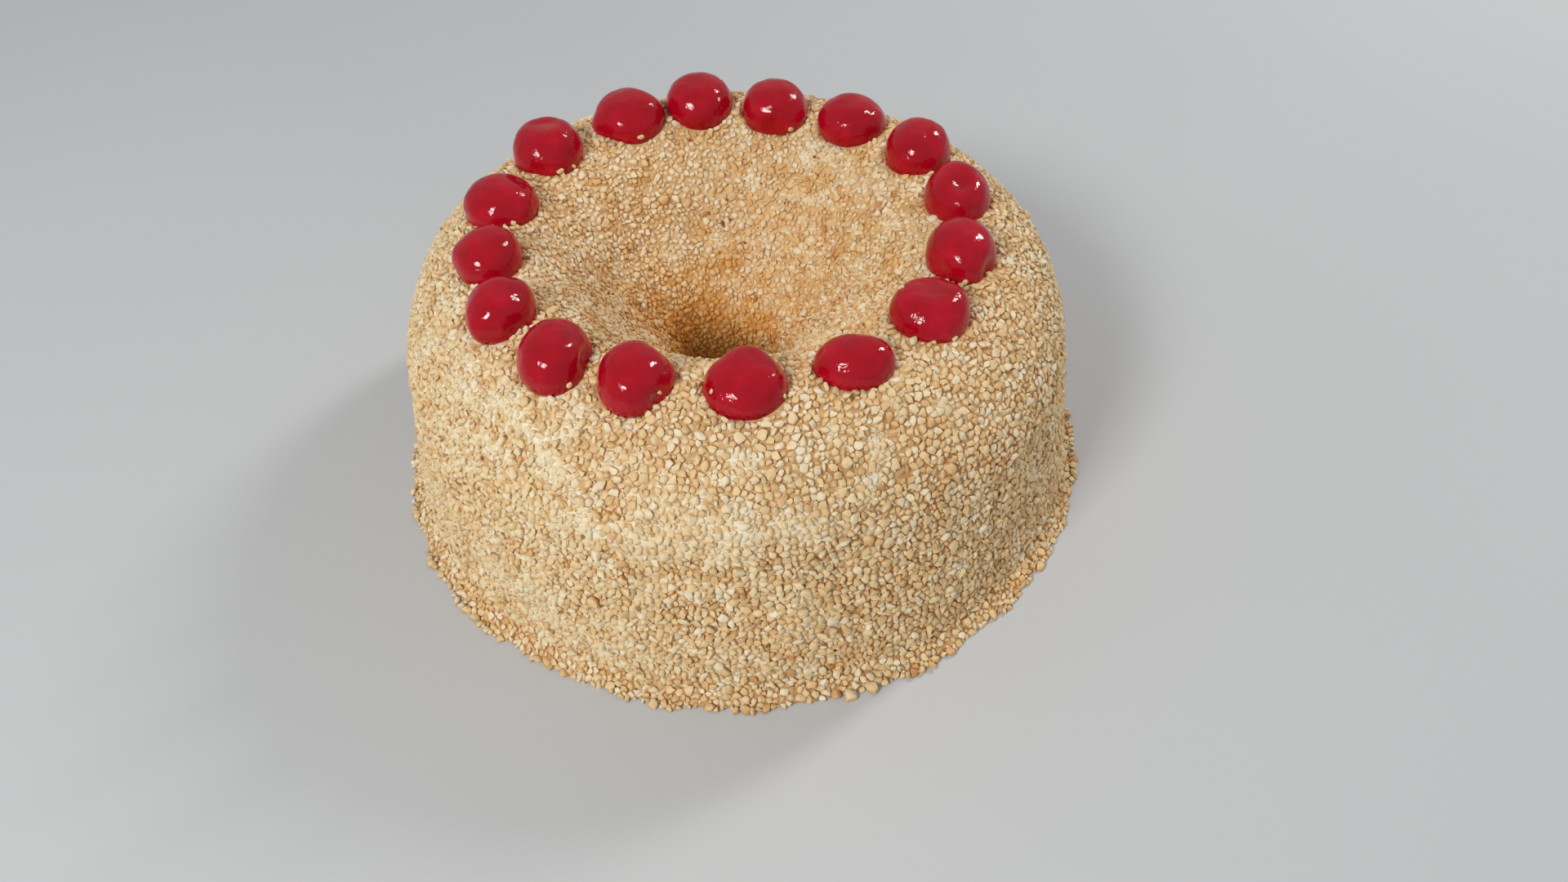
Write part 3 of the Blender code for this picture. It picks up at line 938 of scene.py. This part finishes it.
def nutSpots(tree, cherrySolids):
    # The places of each size of nut, largest first, each size keeping clear of the larger ones
    given = tree.given
    height = tree.add("ShaderNodeSeparateXYZ", {0: tree.position}).outputs["Z"]
    groups = []
    for number, name in enumerate(nutSizes):
        points = tree.spots(given["Surface"], given[f"{name} spacing"], given[f"{name} density"],
                            tree.less(0.2 * mm, height), tree.seed(number))
        for larger in groups:
            points = tree.dropNear(points, larger, given[f"{name} clear"])
        points = tree.dropInside(points, cherrySolids, given["Cherry gap"])
        if name in ("Large", "Medium"):
            # Fewer of them where the nuts are fine, which leaves room for small ones
            chance = tree.randomValue(0.0, 1.0, 50 + number)
            points = tree.drop(points, tree.less(chance, fine(tree, given["Fine share"])))
        length = tree.randomValue(given[f"{name} length low"], given[f"{name} length high"], 10 + number)
        half = tree.maths("SUBTRACT", settleLook["halfLength"], fine(tree, settleLook["fineShorter"]))
        half = tree.maths("ADD", half, iced(tree, settleLook["icedLonger"]))
        groups.append(tree.store(points, "reach", tree.maths("MULTIPLY", length, half)))
    lifted = []
    for number, name in enumerate(nutSizes):
        # Set deeper where the icing is thick, and none below the table
        share = tree.maths("ADD", given[f"{name} lift"], iced(tree, -settleLook["icedDeeper"]))
        share = tree.maths("ADD", share, fine(tree, -settleLook["fineDeeper"]))
        uneven = tree.randomValue(settleLook["liftLow"], settleLook["liftHigh"], 30 + number)
        length = tree.maths("MULTIPLY", tree.named("reach"), 2.0)
        rise = tree.maths("MULTIPLY", tree.maths("ADD", share, uneven), length)
        points = tree.moved(groups[number], tree.scaled(tree.named("outward", "FLOAT_VECTOR"), rise))
        lowest = tree.maths("MULTIPLY", tree.named("reach"), settleLook["floorShare"])
        lifted.append(tree.raised(points, lowest))
    return lifted


def chosen(tree, kind, choices):
    # One of the four choices, by the size asked for
    node = tree.add("GeometryNodeIndexSwitch", data_type=kind)
    while len(node.index_switch_items) < len(choices):
        node.index_switch_items.new()
    tree.join(tree.given["Size"], node.inputs["Index"])
    for number, choice in enumerate(choices):
        tree.join(choice, node.inputs[number + 1])
    return node.outputs[0]


def nutTree():
    tree = Tree("nutCoat", nutInputs)
    given = tree.given
    box = tree.add("GeometryNodeCollectionInfo", {"Collection": given["Cherries"]})
    cherrySolids = tree.add("GeometryNodeRealizeInstances", {"Geometry": box.outputs[0]}).outputs[0]
    groups = nutSpots(tree, cherrySolids)
    points = chosen(tree, "GEOMETRY", groups)
    # Each nut's tone, which also says which piece it belongs to
    points = tree.store(points, "tone", tree.randomValue(0.0, 1.0, 20))
    tooPale = tree.less(tree.named("tone"), given["Tone low"])
    tooDark = tree.less(given["Tone high"], tree.named("tone"))
    points = tree.drop(points, tree.maths("MAXIMUM", tooPale, tooDark))
    points = tree.store(points, "middle", tree.position, "FLOAT_VECTOR")
    gap = tree.randomValue(given["Gap low"], given["Gap high"], 26)
    gap = tree.maths("ADD", gap, iced(tree, settleLook["icedGap"]))
    gap = tree.maths("SUBTRACT", gap, fine(tree, settleLook["fineGap"]))
    points = tree.store(points, "gap", gap)
    # Turned at random in the surface, with a little tilt
    tilt = chosen(tree, "FLOAT", [given[f"{name} tilt"] for name in nutSizes])
    tiltLow = tree.maths("MULTIPLY", tilt, -1.0)
    angles = tree.add("ShaderNodeCombineXYZ", {
        0: tree.randomValue(tiltLow, tilt, 22),
        1: tree.randomValue(tiltLow, tilt, 23),
        2: tree.randomValue(-pi, pi, 24),
    })
    own = tree.add("FunctionNodeEulerToRotation", {0: angles.outputs[0]}).outputs[0]
    turns = {0: tree.named("lie", "QUATERNION"), 1: own}
    shapes = tree.add("GeometryNodeCollectionInfo", {
        "Collection": given["Shapes"], "Separate Children": True, "Reset Children": True,
    })
    pick = tree.add("FunctionNodeRandomValue", {"Seed": tree.seed(25)}, data_type="INT")
    length = tree.maths("MULTIPLY", tree.named("reach"), 2.0)
    nuts = tree.add("GeometryNodeInstanceOnPoints", {
        "Points": points,
        "Instance": shapes.outputs[0],
        "Pick Instance": True,
        "Instance Index": tree.live(pick, "Value"),
        "Rotation": tree.add("FunctionNodeRotateRotation", turns, rotation_space="LOCAL").outputs[0],
        "Scale": tree.add("ShaderNodeCombineXYZ", {0: length, 1: length, 2: length}).outputs[0],
    }).outputs[0]
    nuts = tree.add("GeometryNodeRealizeInstances", {"Geometry": nuts}).outputs[0]
    for others in groups[:3] * 2:
        nuts = tree.giveWay(nuts, others)
    # Uneven all over, then flat where it would reach below the table
    often = tree.maths("DIVIDE", 1.0, given["Rough size"])
    rough = tree.add("ShaderNodeTexNoise", {"Vector": tree.position, "Detail": 1.0, "Scale": often})
    uneven = tree.vector("SUBTRACT", tree.live(rough, "Color"), (0.5, 0.5, 0.5))
    nuts = tree.moved(nuts, tree.scaled(uneven, given["Rough depth"]))
    nuts = tree.raised(nuts, 0.05 * mm)
    # Crisp edges where the nuts are dry, soft ones where icing smears over them
    smooth = tree.maths("MAXIMUM", tree.named("creamShare"), fine(tree, settleLook["fineSmooth"]))
    softer = tree.maths("MULTIPLY", smooth, given["Cream softens"])
    angle = tree.add("GeometryNodeInputMeshEdgeAngle").outputs["Unsigned Angle"]
    soft = tree.less(angle, tree.maths("ADD", given["Crisp angle"], softer))
    shading = {"Geometry": nuts, "Shade Smooth": soft}
    nuts = tree.add("GeometryNodeSetShadeSmooth", shading, domain="EDGE").outputs[0]
    painted = tree.add("GeometryNodeSetMaterial", {"Geometry": nuts, "Material": given["Finish"]})
    tree.join(painted.outputs[0], tree.result)
    return tree.tree


nutLayout = {
    "Gap low": -0.14 * mm,
    "Gap high": 0.30 * mm,
    "Rough size": 1.6 * mm,
    "Rough depth": 0.6 * mm,
    "Fine share": 0.35,
    "Crisp angle": radians(34),
    "Cream softens": radians(70),
    "Cherry gap": 0.7 * mm,
    "Seed": 7,
}

# sides and slopes: how many steep and how many sloping cuts each shape has
nutShapes = {
    "largeNut": dict(count=16, sides=8, slopes=5, seed=100),
    "mediumNut": dict(count=32, sides=7, slopes=4, seed=200),
    "smallNut": dict(count=24, sides=6, slopes=3, seed=300),
    "crumb": dict(count=8, sides=3, slopes=0, seed=400),
}

nutKinds = {
    "largeNuts": dict(size="Large", tones=(0.0, 1.0), box="largeNut"),
    "mediumCreamNuts": dict(size="Medium", tones=(0.0, 0.25), box="mediumNut"),
    "mediumPaleNuts": dict(size="Medium", tones=(0.25, 0.50), box="mediumNut"),
    "mediumStrawNuts": dict(size="Medium", tones=(0.50, 0.75), box="mediumNut"),
    "mediumGoldenNuts": dict(size="Medium", tones=(0.75, 1.0), box="mediumNut"),
    "smallPaleNuts": dict(size="Small", tones=(0.0, 0.5), box="smallNut"),
    "smallGoldenNuts": dict(size="Small", tones=(0.5, 1.0), box="smallNut"),
    "nutCrumbs": dict(size="Crumb", tones=(0.0, 1.0), box="crumb"),
}


def meshFromTree(surface, name, tree, values):
    # Runs the tree on a copy of the surface and keeps the result as a plain mesh
    item = makeObject(name, surface.copy())
    modifier = item.modifiers.new("nuts", "NODES")
    modifier.node_group = tree
    for socket in tree.interface.items_tree:
        if socket.in_out == "INPUT" and socket.name in values:
            modifier[socket.identifier] = values[socket.name]
    graph = bpy.context.evaluated_depsgraph_get()
    mesh = bpy.data.meshes.new_from_object(item.evaluated_get(graph))
    mesh.name = name
    item.modifiers.remove(modifier)
    item.data = mesh
    return item


def layoutValues():
    values = dict(nutLayout)
    for name, size in nutSizes.items():
        values[f"{name} spacing"] = size["spacing"] * mm
        values[f"{name} clear"] = size["clear"] * mm
        values[f"{name} length low"] = size["lengths"][0] * mm
        values[f"{name} length high"] = size["lengths"][1] * mm
        for label in ("density", "lift", "tilt"):
            values[f"{name} {label}"] = size[label]
    return values


def makeNuts(core, cherryBox):
    boxes = {name: shapeBox(name, **shape) for name, shape in nutShapes.items()}
    finish = nutFinish("choppedNut", nutLook["toasted"], nutLook["toastedShare"])
    crumbFinish = nutFinish("nutCrumb", nutLook["speck"], nutLook["speckShare"])
    ground = nutGround(core)
    tree = nutTree()
    pieces = [makeStuckBits(finish), makeSpecks(finish)]
    for name, kind in nutKinds.items():
        values = layoutValues()
        values.update({
            "Size": list(nutSizes).index(kind["size"]),
            "Tone low": kind["tones"][0],
            "Tone high": kind["tones"][1],
            "Shapes": boxes[kind["box"]],
            "Cherries": cherryBox,
            "Finish": crumbFinish if kind["size"] == "Crumb" else finish,
        })
        piece = meshFromTree(ground, name, tree, values)
        pieces.append(piece)
        print("nuts:", name, len(piece.data.polygons), "faces")
    for box in boxes.values():
        for item in list(box.objects):
            bpy.data.objects.remove(item)
        bpy.data.collections.remove(box)
    return pieces


def main():
    addCamera()
    addLights()
    addFloor()
    print("camera, light and table ready")
    red = cherryFinish("candiedCherry")
    cherryBox = bpy.data.collections.new("cherryBox")
    for number in range(len(cherries)):
        piece = makeCherry(number, red)
        cherryBox.objects.link(piece)
        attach(piece, "root")
        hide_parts(f"cherry_{number + 1:02d}")
    print("cherries ready")
    core = makeCore()
    print("iced ring ready:", len(core.data.polygons), "faces")
    nuts = makeNuts(core, cherryBox)
    bpy.data.collections.remove(cherryBox)
    for piece in [core] + nuts:
        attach(piece, "root")
        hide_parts("cake")
    print("nuts ready")


main()
